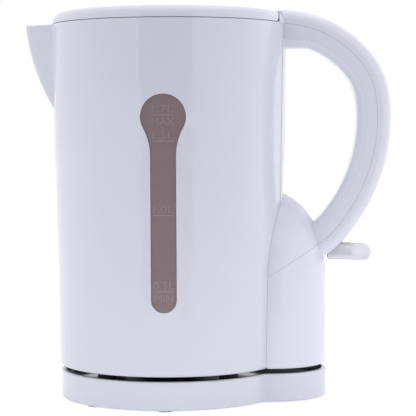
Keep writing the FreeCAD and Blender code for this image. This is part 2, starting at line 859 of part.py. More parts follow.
def spine_region(growth):
    """Upright band behind the jug for the strip that joins the handle's two roots."""
    half = f"(size.spine_half_width + {growth})"
    low = f"(place.bend_four_z - {growth})"
    high = f"(place.lid_seam - size.spine_top_drop + {growth})"
    return box("place.handle_x / 2", f"-{half}", low, FAR, f"2 * {half}", f"{high} - {low}")


def make_jug():
    """Jug moulding: vessel, spout, screw bosses and the seat of the steam switch."""
    core = jug_cone("-size.jug_wall / 2")
    spout = cut(spout_form("spout_outer", "0", "place.lid_seam"), core)
    seat_low = "place.lever_z - size.switch_below / 2"
    seat_height = "(size.switch_below + size.switch_above) / 2"
    seat_box = box("place.foot_bore", "-size.switch_half_width / 2", seat_low,
                   "place.switch_back - place.foot_bore", "size.switch_half_width", seat_height)
    boss_height = "size.screw_length + size.cover_thickness"
    pilot = "size.screw_radius + size.close_fit / 2"
    bosses, pilots = [], []
    for x, y in JUG_SCREWS:
        boss = post(x, y, "place.cover_top", "size.boss_radius", boss_height)
        bosses.append(common(boss, jug_cone("-size.jug_wall / 2")))
        pilots.append(post(x, y, "place.cover_top", pilot, "size.screw_length"))
    whole = fuse(make_vessel(), spout, cut(seat_box, core), *bosses)
    channel = spout_form("spout_inner", "size.spout_wall", "place.lid_seam + size.spout_lip")
    aperture = gauge_prism("gauge_hole", "size.close_fit")
    gate = post("place.lobe_x", "0", "0", "size.lobe_radius - size.lobe_wall",
                "place.jug_bottom + size.gate_height")
    steam_z = "place.handle_z - size.handle_thickness / 2 + 2 * size.handle_wall"
    steam_slot = box("place.mouth_bore - size.jug_wall", "-size.handle_wall", steam_z,
                     "3 * size.jug_wall", "2 * size.handle_wall", "2 * size.handle_wall")
    recess = cut(spine_region("size.close_fit"), jug_cone("-size.spine_depth - size.close_fit"))
    node("jug_body", cut(whole, channel, aperture, gate, steam_slot, recess, *pilots))


def hinge_ears():
    """Two ears beside the lid's knuckle, each with an arm back to the head."""
    ears = []
    radius = "(size.hinge_barrel - size.close_fit)"
    inner = "size.knuckle_half_width + size.slip"
    for start in (inner, f"-({inner}) - size.ear_width"):
        ears.append(cross_rod("place.hinge_x", start, "place.hinge_z", radius, "size.ear_width"))
        ears.append(box("place.hinge_x", start, f"place.hinge_z - {radius}",
                        "size.handle_root", "size.ear_width", f"2 * {radius}"))
    return ears


def make_handle():
    """Both halves of the handle and rear housing, parted along the handle's seam."""
    outer = fuse(handle_bar("grip_form", "0"), handle_root("grip_root"),
                 lobe_form("lobe_outer", "0", "size.jug_edge"))
    lobe_void = lobe_form("lobe_inner", "size.lobe_wall", "size.close_fit")
    bar_void = cut(handle_bar("grip_void", "size.handle_wall"), jug_cone("size.handle_wall"))
    void = fuse(bar_void, lobe_void)
    wall = jug_cone("size.close_fit / 2")

    below = box("0", "-size.jug_top_radius", "0", FAR, "2 * size.jug_top_radius", "place.tail_z")
    inner_seam = seam_side("inner_seam", "size.seam_offset - size.seam_gap / 2")
    spine = common(cut(jug_cone("size.spine_proud"), jug_cone("-size.spine_depth")), spine_region("0"))
    node("handle_inner", fuse(cut(outer, void, wall, inner_seam, below), spine))

    head = common(lid_form("head_form", "0", "place.lid_seam + size.seam_gap / 2"),
                  behind_hinge("head_region", "size.chord_gap", "0"))
    outer_seam = seam_side("outer_seam", "size.seam_offset + size.seam_gap / 2")
    shell = cut(cut(fuse(common(outer, outer_seam), head), wall), void)
    boss_x, boss_y = COVER_SCREW
    boss = post(boss_x, boss_y, "place.cover_top", "size.boss_radius", "2 * size.screw_length")
    rib = box(boss_x, "-size.lobe_wall / 2", "place.cover_top",
              "size.lobe_radius / 3 - size.lobe_wall / 2", "size.lobe_wall", "2 * size.screw_length")
    pilot = post(boss_x, boss_y, "place.cover_top",
                 "size.screw_radius + size.close_fit / 2", "size.screw_length")
    slot_low = "place.lever_z - size.lever_thickness / 2 - size.lever_travel"
    slot_half = "(size.lever_half_width + size.slip)"
    slot = box("place.lever_x + size.lever_hub", f"-{slot_half}", slot_low, "size.lever_reach",
               f"2 * {slot_half}", "size.lever_thickness + size.lever_travel + 2 * size.slip")
    pin_hole = cross_rod("place.hinge_x", f"-{PIN_HALF}", "place.hinge_z",
                         "size.hinge_pin_radius + size.close_fit / 2", f"2 * {PIN_HALF}")
    node("handle_cover", cut(fuse(shell, boss, rib, *hinge_ears()), slot, pin_hole, pilot))


def make_gauge():
    """Smoked window: a flush keyhole with a wider lip bonded behind the wall."""
    pane = common(gauge_prism("gauge_pane", "0"),
                  cut(jug_cone("-size.gauge_recess"), jug_cone("-size.jug_wall - size.gauge_lip_thickness")))
    lip = common(gauge_prism("gauge_edge", "size.gauge_lip"),
                 cut(jug_cone("-size.jug_wall - size.close_fit"),
                     jug_cone("-size.jug_wall - size.gauge_lip_thickness")))
    node("water_gauge", fuse(pane, lip))


def make_filter():
    """Spout filter: a clip-in frame that holds a square mesh."""
    half, border = "size.filter_half_width", "size.filter_border"
    back = "-place.filter_x"
    frame = box(back, f"-{half}", "place.filter_under",
                "size.filter_thickness", f"2 * {half}", "size.filter_height")
    window = box(f"{back} - size.slip", f"{border} - {half}", f"place.filter_under + {border}",
                 "size.filter_thickness + 2 * size.slip", f"2 * ({half} - {border})",
                 f"size.filter_height - 2 * {border}")
    node("filter_frame", cut(frame, window))
    width = value(f"2 * ({half} - {border})")
    height = value(f"size.filter_height - 2 * {border}")
    thickness, pitch, hole = (value(f"size.mesh_{word}") for word in ("thickness", "pitch", "hole"))
    sheet = Part.makeBox(thickness, width, height)
    across, up = int(width // pitch), int(height // pitch)
    first_y = (width - (across - 1) * pitch - hole) / 2
    first_z = (height - (up - 1) * pitch - hole) / 2
    holes = [Part.makeBox(3 * thickness, hole, hole,
                          FreeCAD.Vector(-thickness, first_y + column * pitch, first_z + row * pitch))
             for column in range(across) for row in range(up)]
    mesh = doc.addObject("Part::Feature", "filter_mesh")
    mesh.Shape = sheet.cut(Part.makeCompound(holes))
    mesh.Placement.Base = FreeCAD.Vector(
        value(f"{back} + size.filter_thickness / 2 - size.mesh_thickness / 2"), -width / 2,
        value(f"place.filter_under + {border}"))
    node("filter_mesh", mesh)


def make_heater():
    """Sealed heater plate, its element and the control under it."""
    rim = "(place.heater_bore - size.slip)"
    dish, step = "size.dish_radius", "size.heater_dish"
    plate = revolve("heater_plate", [
        line("0", f"place.heater_under + {step}"),
        line(dish, f"place.heater_under + {step}"),
        line(f"{dish} + {step}", "place.heater_under"),
        line(rim, "place.heater_under"),
        line(rim, "place.heater_top"),
        line(f"{dish} + {step} + size.heater_thickness / 2", "place.heater_top"),
        line(f"{dish} + size.heater_thickness / 2", f"place.heater_top + {step}"),
        line("0", f"place.heater_top + {step}"),
    ])
    node("heater_plate", plate)
    seal_bore = "place.ledge_bore - size.ledge_width + size.slip"
    node("heater_seal", revolve("heater_seal", [
        line(seal_bore, "place.heater_top"),
        line(rim, "place.heater_top"),
        line(rim, "place.ledge_under"),
        line(seal_bore, "place.ledge_under"),
    ]))
    node("heater_clamp_ring", revolve("heater_clamp_ring", [
        line(f"{rim} - size.clamp_width", "place.clamp_under"),
        line(rim, "place.clamp_under"),
        line(rim, "place.heater_under"),
        line(f"{rim} - size.clamp_width", "place.heater_under"),
    ]))
    ring, thick = "size.element_circle", "size.element_radius"
    coil = revolve("heating_coil", [
        line(f"{ring} - {thick}", "place.control_top"),
        line(f"{ring} - {thick}", f"place.control_top - {thick}"),
        arc(ring, f"place.control_top - 2 * {thick}", thick, 1),
        arc(f"{ring} + {thick}", f"place.control_top - {thick}", thick, 1),
        line(f"{ring} + {thick}", "place.control_top"),
    ], "size.element_sweep")
    tails = []
    for angle in ("size.tail_inset", "(size.element_sweep - size.tail_inset)"):
        x, y = f"{ring} * cos({angle} * 1 deg)", f"{ring} * sin({angle} * 1 deg)"
        low = f"place.control_top - {thick} - size.tail_length"
        tails.append(post(x, y, low, "size.tail_radius", "size.tail_length"))
    node("heating_element", fuse(coil, *tails))

    low = "place.tray_top + 2 * size.slip"
    control = revolve("thermostat_control", [
        line("0", "place.control_under"),
        line("place.skirt_inner", "place.control_under"),
        line("place.skirt_inner", low),
        line("place.skirt_outer", low),
        line("place.skirt_outer", "place.control_under"),
        line("size.control_radius", "place.control_under"),
        line("size.control_radius", "place.control_top"),
        line("0", "place.control_top"),
    ])
    seats = [("size.bimetal_circle", "0"), ("-size.bimetal_circle", "0")]
    depth = "2 * size.bimetal_thickness"
    circle_feature(control, "Pocket", seats, "size.bimetal_radius + size.slip", "place.control_top", depth)
    node("thermostat_control", control)
    floor = f"place.control_top - {depth}"
    discs = [post(x, y, floor, "size.bimetal_radius", "size.bimetal_thickness") for x, y in seats]
    node("bimetal_discs", group(*discs))
    tip = "(place.contact_top + size.slip)"
    reach = f"place.control_under - {tip}"
    pin = post("0", "0", tip, "size.plug_pin_radius", reach)
    ring = cut(post("0", "0", tip, "place.groove_middle + size.plug_ring_wall / 2", reach),
               post("0", "0", tip, "place.groove_middle - size.plug_ring_wall / 2", reach))
    node("plug_contacts", group(pin, ring))


def make_jug_bottom():
    """Closing cover under the jug: feet for the tray, posts for the clamp ring, screws."""
    round_part = post("0", "0", "place.cover_under", "place.foot_bore - size.slip", "size.cover_thickness")
    lobe_radius = "size.lobe_radius - size.lobe_wall - size.slip"
    lobe_part = post("place.lobe_x", "0", "place.cover_under", lobe_radius, "size.cover_thickness")
    pad_low = "place.tray_top"
    pads = [post(x, y, pad_low, "size.pad_radius", "place.cover_under - place.tray_top")
            for x, y in on_circle("size.pad_circle", POST_ANGLES)]
    posts = [post(x, y, "place.cover_top", "size.post_radius", "place.clamp_under - place.cover_top")
             for x, y in on_circle("size.post_circle", POST_ANGLES)]
    opening = post("0", "0", "0", "place.skirt_outer + 2 * size.slip", "place.heater_under")
    spots = JUG_SCREWS + [COVER_SCREW]
    holes = [post(x, y, "place.cover_under - size.slip", "size.screw_radius + size.slip",
                  "size.cover_thickness + 2 * size.slip") for x, y in spots]
    node("jug_bottom_cover", cut(fuse(round_part, lobe_part, *pads, *posts), opening, *holes))
    head_under = "place.cover_under - size.screw_head_height"
    node("jug_bottom_screws", group(*[screw(x, y, head_under) for x, y in spots]))


# Lid


def lid_form(name, inset, under):
    """Lid outline turned about the axis: upright edge, round shoulder and shallow crown."""
    shoulder = f"(size.lid_shoulder - {inset})"
    crown = f"(size.lid_crown - {inset})"
    share = f"{crown} / (size.lid_crown - size.lid_shoulder)"
    touch_x = f"place.shoulder_x * {share}"
    touch_z = f"place.crown_centre + place.shoulder_rise * {share}"
    edge = f"size.jug_top_radius - {inset}"
    return revolve(name, [
        line("0", under),
        line(edge, under),
        line(edge, "place.shoulder_z"),
        arc(touch_x, touch_z, shoulder, 1),
        arc("0", f"place.crown_centre + {crown}", crown, 1),
    ])


def behind_hinge(name, gap, relief):
    """Everything behind the lid's rear edge, which bulges round the hinge axis."""
    edge, bulge = f"place.chord_x + {gap}", f"size.hinge_barrel + {gap}"
    return side_prism(name, [
        line(f"{edge} - {relief}", "0"),
        line(f"{edge} - {relief}", "place.lid_under"),
        line(edge, "place.lid_under + 2 * size.chord_relief"),
        line(edge, "place.hinge_z"),
        arc("place.hinge_x", f"place.hinge_z + {bulge}", bulge, 1),
        line("place.hinge_x", FAR),
        line(FAR, FAR),
        line(FAR, "0"),
    ], "size.jug_top_radius")


def make_lid():
    """Lid shell with its hinge knuckle, the liner that plugs the mouth, and its seal."""
    chord, hinge_x, hinge_z = "place.chord_x", "place.hinge_x", "place.hinge_z"
    barrel = "size.hinge_barrel"
    beyond = behind_hinge("lid_chord", "0", "size.chord_relief")
    form = lid_form("lid_outer", "0", "place.lid_under")
    shell = cut(form, lid_form("lid_inner_void", "size.lid_wall", "place.lid_under - size.lid_wall"))
    rear_box = box(f"{chord} - size.lid_wall", "-size.jug_top_radius", "0",
                   FAR, "2 * size.jug_top_radius", FAR)
    rear_wall = common(lid_form("lid_rear", "0", "place.lid_under"), rear_box)
    knuckle = cross_rod(hinge_x, "-size.knuckle_half_width", hinge_z, barrel, "2 * size.knuckle_half_width")
    pin_hole = cross_rod(hinge_x, f"-{PIN_HALF}", hinge_z,
                         "size.hinge_pin_radius + size.close_fit", f"2 * {PIN_HALF}")
    notches = []
    notch_x = f"{hinge_x} - {barrel} - size.slip"
    for start in ("size.knuckle_half_width", "-size.knuckle_half_width - size.ear_width - 2 * size.slip"):
        notches.append(box(notch_x, start, "0", "size.handle_root + 2 * size.hinge_barrel",
                           "size.ear_width + 2 * size.slip", FAR))
    scoop = doc.addObject("Part::Sphere", "scoop")
    bind(scoop, Radius="size.scoop_radius")
    crown_here = "place.crown_centre + sqrt(size.lid_crown^2 - size.scoop_centre^2)"
    place(scoop, "-size.scoop_centre", "0", f"{crown_here} + size.scoop_radius - size.scoop_depth")
    node("lid_cover", cut(fuse(shell, rear_wall, knuckle), beyond, pin_hole, scoop, *notches))

    rim = "size.jug_top_radius - size.lid_wall - size.slip"
    plug, low = "place.plug_radius", "place.lid_under - size.plug_depth"
    liner = revolve("liner_form", [
        line("0", "place.lid_under"),
        line(f"{plug} - size.plug_wall", "place.lid_under"),
        line(f"{plug} - size.plug_wall", low),
        line(plug, low),
        line(plug, "place.lid_under"),
        line(rim, "place.lid_under"),
        line(rim, "place.lid_under + size.liner_thickness"),
        line("0", "place.lid_under + size.liner_thickness"),
    ])
    rear = box("place.liner_chord", "-size.jug_top_radius", "0", FAR, "2 * size.jug_top_radius", FAR)
    node("lid_inner", cut(liner, rear))
    seal_low = "place.lid_under - size.plug_depth / 2 - size.lid_seal_height / 2"
    outer = post("0", "0", seal_low, f"{plug} + size.lid_seal_width", "size.lid_seal_height")
    inner = post("0", "0", seal_low, f"{plug} + size.close_fit / 2", "size.lid_seal_height")
    seal_rear = box("place.liner_chord", "-size.jug_top_radius", "0", FAR, "2 * size.jug_top_radius", FAR)
    node("lid_seal", cut(outer, inner, seal_rear))
    pin = cross_rod(hinge_x, f"-{PIN_HALF}", hinge_z, "size.hinge_pin_radius", f"2 * {PIN_HALF}")
    node("lid_hinge_pin", pin)


# Steam switch


def make_switch():
    """Steam switch behind the jug, with its rocker, clear lever cap and lamp."""
    half = "size.switch_half_width"
    block = box("place.switch_back", f"-{half}", "place.lever_z - size.switch_below", "size.switch_depth",
                f"2 * {half}", "size.switch_below + size.switch_above")
    ears = []
    gap = "(size.lever_half_width + size.slip)"
    reach = "(place.lever_x - place.switch_front)"
    for start in (gap, f"-{gap} - size.switch_ear"):
        ears.append(box("place.switch_front", start, "place.lever_z - size.lever_hub / 2", reach,
                        "size.switch_ear", "size.lever_hub"))
        ears.append(cross_rod("place.lever_x", start, "place.lever_z", "size.lever_hub / 2 + size.slip",
                              "size.switch_ear"))
    hole = cross_rod("place.lever_x", f"-{half}", "place.lever_z",
                     "size.lever_pin_radius + size.close_fit / 2", f"2 * {half}")
    node("steam_switch", cut(fuse(block, *ears), hole))
    disc = forward_rod("place.switch_front", "0", "place.lever_z",
                       "size.bimetal_radius", "size.bimetal_thickness")
    node("steam_bimetal", disc)
    lamp_z = "place.lever_z - size.lamp_drop"
    stem = forward_rod("place.switch_front", "0", lamp_z, "size.lamp_radius", "size.lamp_length")
    lens = doc.addObject("Part::Sphere", "lens")
    bind(lens, Radius="size.lamp_radius")
    place(lens, "place.switch_front + size.lamp_length", "0", lamp_z)
    node("indicator_lamp", fuse(stem, lens))
    pin_half = f"({gap} + size.switch_ear)"
    pin = cross_rod("place.lever_x", f"-{pin_half}", "place.lever_z",
                    "size.lever_pin_radius", f"2 * {pin_half}")
    node("lever_pin", pin)

    core_half = "size.core_half_width"
    hub = cross_rod("place.lever_x", "-size.lever_half_width", "place.lever_z", "size.lever_hub",
                    "2 * size.lever_half_width")
    slope = "(size.lever_sag / (size.lever_reach - size.lever_thickness / 2))"
    core_end = "place.lever_x + size.core_reach"
    core_drop = f"{slope} * size.core_reach"

    def core_path(growth):
        thick = f"(size.core_thickness / 2 + {growth})"
        return [
            line("place.lever_x", f"place.lever_z - {thick}"),
            line(f"{core_end} + {growth}", f"place.lever_z - {core_drop} - {thick}"),
            line(f"{core_end} + {growth}", f"place.lever_z - {core_drop} + {thick}"),
            line("place.lever_x", f"place.lever_z + {thick}"),
        ]

    core = side_prism("rocker_core", core_path("0"), core_half)
    bore = cross_rod("place.lever_x", "-size.jug_foot_radius", "place.lever_z",
                     "size.lever_pin_radius + size.close_fit", "2 * size.jug_foot_radius")
    node("switch_rocker", cut(fuse(hub, core), bore))
    start = "place.lever_x + size.cap_start"
    start_z = f"place.lever_z - {slope} * size.cap_start"
    thick = "size.lever_thickness / 2"
    cap = side_prism("lever_form", [
        line(start, f"{start_z} - {thick}"),
        line("place.tip_x", f"place.tip_z - {thick}"),
        arc(f"place.tip_x + {thick}", "place.tip_z", thick, 1),
        arc("place.tip_x", f"place.tip_z + {thick}", thick, 1),
        line(start, f"{start_z} + {thick}"),
    ], "size.lever_half_width")
    limit_x = value(start) + 0.1

    def side_edge(edge):
        ends = [vertex.Point for vertex in edge.Vertexes]
        flat = max(abs(end.y - ends[0].y) for end in ends) < 0.1
        return flat and max(end.x for end in ends) > limit_x

    round_edges(cap, "size.lever_round", side_edge)
    socket = side_prism("lever_socket", core_path("size.close_fit"), f"{core_half} + size.close_fit")
    node("switch_lever", cut(cap, socket))


def check_and_write():
    """Stop on any failed object or bad shape, then write one file for each sub-part."""
    doc.recompute()
    for item in doc.Objects:
        if "Invalid" in item.State or "Error" in item.State:
            raise RuntimeError(f"{item.Name} ({item.Label}) failed: {item.State}")
    for item in NODES:
        if item.Shape.isNull() or not item.Shape.isValid() or not item.Shape.Solids:
            raise RuntimeError(f"{item.Label} has no valid solid")
    os.makedirs("parts", exist_ok=True)
    for item in NODES:
        item.Shape.exportStep(os.path.join("parts", f"{item.Label}.step"))
        print(f"{item.Label}: {len(item.Shape.Solids)} solid(s), {item.Shape.Volume:.0f} mm3")


make_base_top()
make_base_bottom()
make_base_fittings()
make_jug()
make_handle()
make_gauge()
make_filter()
make_heater()
make_jug_bottom()
make_lid()
make_switch()
check_and_write()
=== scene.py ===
"""Looks of a white cordless kettle: finishes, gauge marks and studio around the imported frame."""

import json
import logging
from dataclasses import dataclass
from enum import Enum
from typing import Any

import bmesh
import bpy
from mathutils import Matrix, Vector
from mathutils.bvhtree import BVHTree


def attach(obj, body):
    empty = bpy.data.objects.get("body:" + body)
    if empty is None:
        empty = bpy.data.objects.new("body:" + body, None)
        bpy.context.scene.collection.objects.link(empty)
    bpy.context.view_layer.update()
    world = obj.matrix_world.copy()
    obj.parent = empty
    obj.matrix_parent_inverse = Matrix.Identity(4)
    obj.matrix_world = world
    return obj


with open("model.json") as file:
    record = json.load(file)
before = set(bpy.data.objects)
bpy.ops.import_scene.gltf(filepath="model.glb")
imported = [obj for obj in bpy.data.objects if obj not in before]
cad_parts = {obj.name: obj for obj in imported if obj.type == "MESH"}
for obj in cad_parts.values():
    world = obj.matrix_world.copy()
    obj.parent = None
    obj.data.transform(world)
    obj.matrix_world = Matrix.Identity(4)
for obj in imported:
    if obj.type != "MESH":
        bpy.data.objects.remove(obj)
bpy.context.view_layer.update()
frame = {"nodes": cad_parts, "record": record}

LOG = logging.getLogger("kettle")
MM = 0.001
TONE_LOW = 0.35
TONE_HIGH = 0.65
PLASTIC_IOR = 1.5
POLYCARBONATE_IOR = 1.58
WHITE = (1.0, 1.0, 1.0, 1.0)


class Slot(Enum):
    """The record's material slots."""

    WHITE_GLOSS = "white_gloss"
    WHITE_MATTE = "white_matte"
    SMOKED_CLEAR = "smoked_clear"
    FROSTED_CLEAR = "frosted_clear"
    MESH_WHITE = "mesh_white"
    BLACK_PLASTIC = "black_plastic"
    DARK_PLASTIC = "dark_plastic"
    RUBBER = "rubber"
    SEAL_SILICONE = "seal_silicone"
    HEATER_STEEL = "heater_steel"
    ELEMENT_ALUMINIUM = "element_aluminium"
    SCREW_STEEL = "screw_steel"
    CONTACT_BRASS = "contact_brass"
    LAMP_RED = "lamp_red"


def linear(code: str) -> tuple[float, float, float, float]:
    """Turn an sRGB hex colour into linear RGBA.

    Args:
        code: colour as #RRGGBB.

    Returns:
        The colour in linear light with full alpha.
    """
    parts = [int(code[i:i + 2], 16) / 255 for i in (1, 3, 5)]
    light = [p / 12.92 if p <= 0.04045 else ((p + 0.055) / 1.055) ** 2.4 for p in parts]
    return (light[0], light[1], light[2], 1.0)


def per_mm(size: float) -> float:
    """Texture scale on Object coordinates for a feature of the given millimetres."""
    return 1 / (size * MM)


def add_node(material: bpy.types.Material, kind: str, settings: dict[str, Any],
             inputs: dict[str, Any]) -> bpy.types.Node:
    """Add a shader node with its settings, values and links.

    Args:
        material: material whose tree takes the node.
        kind: Blender's node type.
        settings: node properties by name.
        inputs: socket values by socket name; an output socket is linked instead.

    Returns:
        The new node.
    """
    tree = material.node_tree
    node = tree.nodes.new(kind)
    for name, setting in settings.items():
        setattr(node, name, setting)
    for name, given in inputs.items():
        socket = node.inputs[name]
        if isinstance(given, bpy.types.NodeSocket):
            tree.links.new(given, socket)
        else:
            socket.default_value = given
    return node


def empty_material(name: str) -> bpy.types.Material:
    """Make a node material with nothing in its tree."""
    material = bpy.data.materials.new(name)
    material.use_nodes = True
    material.node_tree.nodes.clear()
    return material


def close_material(material: bpy.types.Material, shader: bpy.types.NodeSocket) -> bpy.types.Material:
    """Link a shader to the material's output and hand the material back."""
    add_node(material, "ShaderNodeOutputMaterial", {}, {"Surface": shader})
    return material


@dataclass(frozen=True)
class MouldedPlastic:
    """Injection-moulded plastic: even colour, faint flow mottle and a slight ripple in the gloss."""

    name: str
    colour: str
    shade: str
    roughness: float
    ripple_mm: float = 9.0
    ripple_depth_mm: float = 0.01
    mottle_mm: float = 70.0

    def material(self) -> bpy.types.Material:
        """Build the node material."""
        made = empty_material(self.name)
        where = add_node(made, "ShaderNodeTexCoord", {}, {}).outputs["Object"]
        flow = add_node(made, "ShaderNodeTexNoise", {}, {"Vector": where, "Scale": per_mm(self.mottle_mm),
                                                         "Detail": 2.0})
        tone = add_node(made, "ShaderNodeValToRGB", {}, {"Fac": flow.outputs["Fac"]})
        tone.color_ramp.elements[0].position = TONE_LOW
        tone.color_ramp.elements[0].color = linear(self.shade)
        tone.color_ramp.elements[1].position = TONE_HIGH
        tone.color_ramp.elements[1].color = linear(self.colour)
        gloss = add_node(made, "ShaderNodeMapRange", {}, {"Value": flow.outputs["Fac"],
                                                          "To Min": self.roughness * 0.9,
                                                          "To Max": self.roughness * 1.1})
        ripple = add_node(made, "ShaderNodeTexNoise", {}, {"Vector": where, "Scale": per_mm(self.ripple_mm),
                                                           "Detail": 1.0})
        bump = add_node(made, "ShaderNodeBump", {}, {"Height": ripple.outputs["Fac"], "Strength": 1.0,
                                                     "Distance": self.ripple_depth_mm * MM})
        shader = add_node(made, "ShaderNodeBsdfPrincipled", {}, {
            "Base Color": tone.outputs["Color"], "Roughness": gloss.outputs["Result"], "IOR": PLASTIC_IOR,
            "Normal": bump.outputs["Normal"]})
        return close_material(made, shader.outputs["BSDF"])


@dataclass(frozen=True)
class ClearPlastic:
    """Polycarbonate that lets light through: tinted or frosted, with a polished or misted skin."""

    name: str
    colour: str
    shade: str
    transmission: float
    roughness: float
    mist_mm: float = 0.8
    mist_depth_mm: float = 0.004
    streak_mm: float = 6.0
    streak_stretch: tuple[float, float, float] = (0.2, 1.0, 1.0)

    def material(self) -> bpy.types.Material:
        """Build the node material."""
        made = empty_material(self.name)
        where = add_node(made, "ShaderNodeTexCoord", {}, {}).outputs["Object"]
        drawn = add_node(made, "ShaderNodeMapping", {}, {"Vector": where, "Scale": self.streak_stretch})
        streak = add_node(made, "ShaderNodeTexNoise", {}, {"Vector": drawn.outputs["Vector"],
                                                           "Scale": per_mm(self.streak_mm), "Detail": 2.0})
        tone = add_node(made, "ShaderNodeValToRGB", {}, {"Fac": streak.outputs["Fac"]})
        tone.color_ramp.elements[0].position = TONE_LOW
        tone.color_ramp.elements[0].color = linear(self.shade)
        tone.color_ramp.elements[1].position = TONE_HIGH
        tone.color_ramp.elements[1].color = linear(self.colour)
        mist = add_node(made, "ShaderNodeTexNoise", {}, {"Vector": where, "Scale": per_mm(self.mist_mm),
                                                         "Detail": 3.0})
        bump = add_node(made, "ShaderNodeBump", {}, {"Height": mist.outputs["Fac"], "Strength": 1.0,
                                                     "Distance": self.mist_depth_mm * MM})
        shader = add_node(made, "ShaderNodeBsdfPrincipled", {}, {
            "Base Color": tone.outputs["Color"], "Roughness": self.roughness, "IOR": POLYCARBONATE_IOR,
            "Transmission Weight": self.transmission, "Normal": bump.outputs["Normal"]})
        return close_material(made, shader.outputs["BSDF"])


@dataclass(frozen=True)
class WorkedMetal:
    """Bare or plated metal with fine tool lines and slight tarnish."""

    name: str
    colour: str
    tarnish: str
    roughness: float
    line_mm: float = 0.4
    stretch: tuple[float, float, float] = (1.0, 1.0, 1.0)

    def material(self) -> bpy.types.Material:
        """Build the node material."""
        made = empty_material(self.name)
        where = add_node(made, "ShaderNodeTexCoord", {}, {}).outputs["Object"]
        turned = add_node(made, "ShaderNodeMapping", {}, {"Vector": where, "Scale": self.stretch})
        lines = add_node(made, "ShaderNodeTexNoise", {}, {"Vector": turned.outputs["Vector"],
                                                          "Scale": per_mm(self.line_mm), "Detail": 4.0})
        tone = add_node(made, "ShaderNodeValToRGB", {}, {"Fac": lines.outputs["Fac"]})
        tone.color_ramp.elements[0].color = linear(self.tarnish)
        tone.color_ramp.elements[1].color = linear(self.colour)
        gloss = add_node(made, "ShaderNodeMapRange", {}, {"Value": lines.outputs["Fac"],
                                                          "To Min": self.roughness * 0.7,
                                                          "To Max": self.roughness * 1.3})
        shader = add_node(made, "ShaderNodeBsdfPrincipled", {}, {
            "Base Color": tone.outputs["Color"], "Metallic": 1.0, "Roughness": gloss.outputs["Result"]})
        return close_material(made, shader.outputs["BSDF"])


@dataclass(frozen=True)
class SoftRubber:
    """Moulded elastomer: matt, with a fine eroded grain."""

    name: str
    colour: str
    shade: str
    roughness: float = 0.75
    grain_mm: float = 0.5
    grain_depth_mm: float = 0.05

    def material(self) -> bpy.types.Material:
        """Build the node material."""
        made = empty_material(self.name)
        where = add_node(made, "ShaderNodeTexCoord", {}, {}).outputs["Object"]
        grain = add_node(made, "ShaderNodeTexNoise", {}, {"Vector": where, "Scale": per_mm(self.grain_mm),
                                                          "Detail": 4.0})
        bump = add_node(made, "ShaderNodeBump", {}, {"Height": grain.outputs["Fac"], "Strength": 1.0,
                                                     "Distance": self.grain_depth_mm * MM})
        tone = add_node(made, "ShaderNodeValToRGB", {}, {"Fac": grain.outputs["Fac"]})
        tone.color_ramp.elements[0].color = linear(self.shade)
        tone.color_ramp.elements[1].color = linear(self.colour)
        gloss = add_node(made, "ShaderNodeMapRange", {}, {"Value": grain.outputs["Fac"],
                                                          "To Min": self.roughness * 0.9,
                                                          "To Max": min(1.0, self.roughness * 1.1)})
        shader = add_node(made, "ShaderNodeBsdfPrincipled", {}, {
            "Base Color": tone.outputs["Color"], "Roughness": gloss.outputs["Result"], "IOR": PLASTIC_IOR,
            "Normal": bump.outputs["Normal"]})
        return close_material(made, shader.outputs["BSDF"])


FINISHES = {
    # Polypropylene shell, polished tool: cool white with a soft gloss
    Slot.WHITE_GLOSS: MouldedPlastic("white_gloss_polypropylene", "#D3D4E2", "#D1D2E0", 0.09),
    # Polypropylene, fine-eroded tool: the same white without the gloss
    Slot.WHITE_MATTE: MouldedPlastic("white_satin_polypropylene", "#E2E3EA", "#DEDFE6", 0.45, 1.2, 0.02),
    # Smoked polycarbonate window: brown-grey and polished
    Slot.SMOKED_CLEAR: ClearPlastic("smoked_polycarbonate", "#9C898D", "#99868B", 0.3, 0.14),
    # Frosted polycarbonate lever: milky, with the core showing dimly
    Slot.FROSTED_CLEAR: ClearPlastic("frosted_polycarbonate", "#F6F6FC", "#E9EAF2", 0.42, 0.45),
    # Nylon filter cloth: a dull, slightly grey white
    Slot.MESH_WHITE: MouldedPlastic("white_nylon_mesh", "#DADBE0", "#D2D3D8", 0.5, 0.8, 0.02),
    # Phenolic of the connector and control: near black, barely shining
    Slot.BLACK_PLASTIC: MouldedPlastic("black_phenolic", "#1C1C1E", "#161618", 0.45, 1.0, 0.02),
    # Polyamide under the jug: warm dark grey with a satin skin
    Slot.DARK_PLASTIC: MouldedPlastic("dark_polyamide", "#4A4443", "#413B3A", 0.5, 1.0, 0.02),
    # Feet: pale and matt, so that they stay quiet under the white base
    Slot.RUBBER: SoftRubber("pale_rubber", "#E0E0E6", "#D6D6DC"),
    # Silicone of the seals: light grey with a faint sheen
    Slot.SEAL_SILICONE: SoftRubber("silicone_seal", "#CDCED0", "#C3C4C6", 0.5),
    # Heater plate: bright steel with brush lines along one way
    Slot.HEATER_STEEL: WorkedMetal("brushed_stainless_steel", "#D2D2D0", "#B4B4B2", 0.3, 0.4,
                                   (1.0, 0.05, 1.0)),
    # Element's sheath: soft grey casting skin
    Slot.ELEMENT_ALUMINIUM: WorkedMetal("cast_aluminium", "#C8C9CC", "#A8A9AC", 0.45, 1.5),
    # Screws and pins: cool plated grey
    Slot.SCREW_STEEL: WorkedMetal("zinc_plated_steel", "#C2C4C6", "#9C9EA2", 0.35, 0.6),
    # Contacts: yellow metal, a little tarnished
    Slot.CONTACT_BRASS: WorkedMetal("bare_brass", "#C9A35A", "#A27F40", 0.35, 0.6),
    # Lamp's lens: deep clear red
    Slot.LAMP_RED: ClearPlastic("red_lamp_lens", "#A01818", "#8C1414", 0.6, 0.15),
}


# Handle and rear housing, moulded apart from the jug: the same white gloss painted a shade lighter, painted
# light that stands in for light the lamps don't bring to them
HANDLE_PAINTED_LIGHT_FINISH = MouldedPlastic("white_gloss_handle_painted_lighter", "#DBDCE9", "#D9DAE7", 0.09)
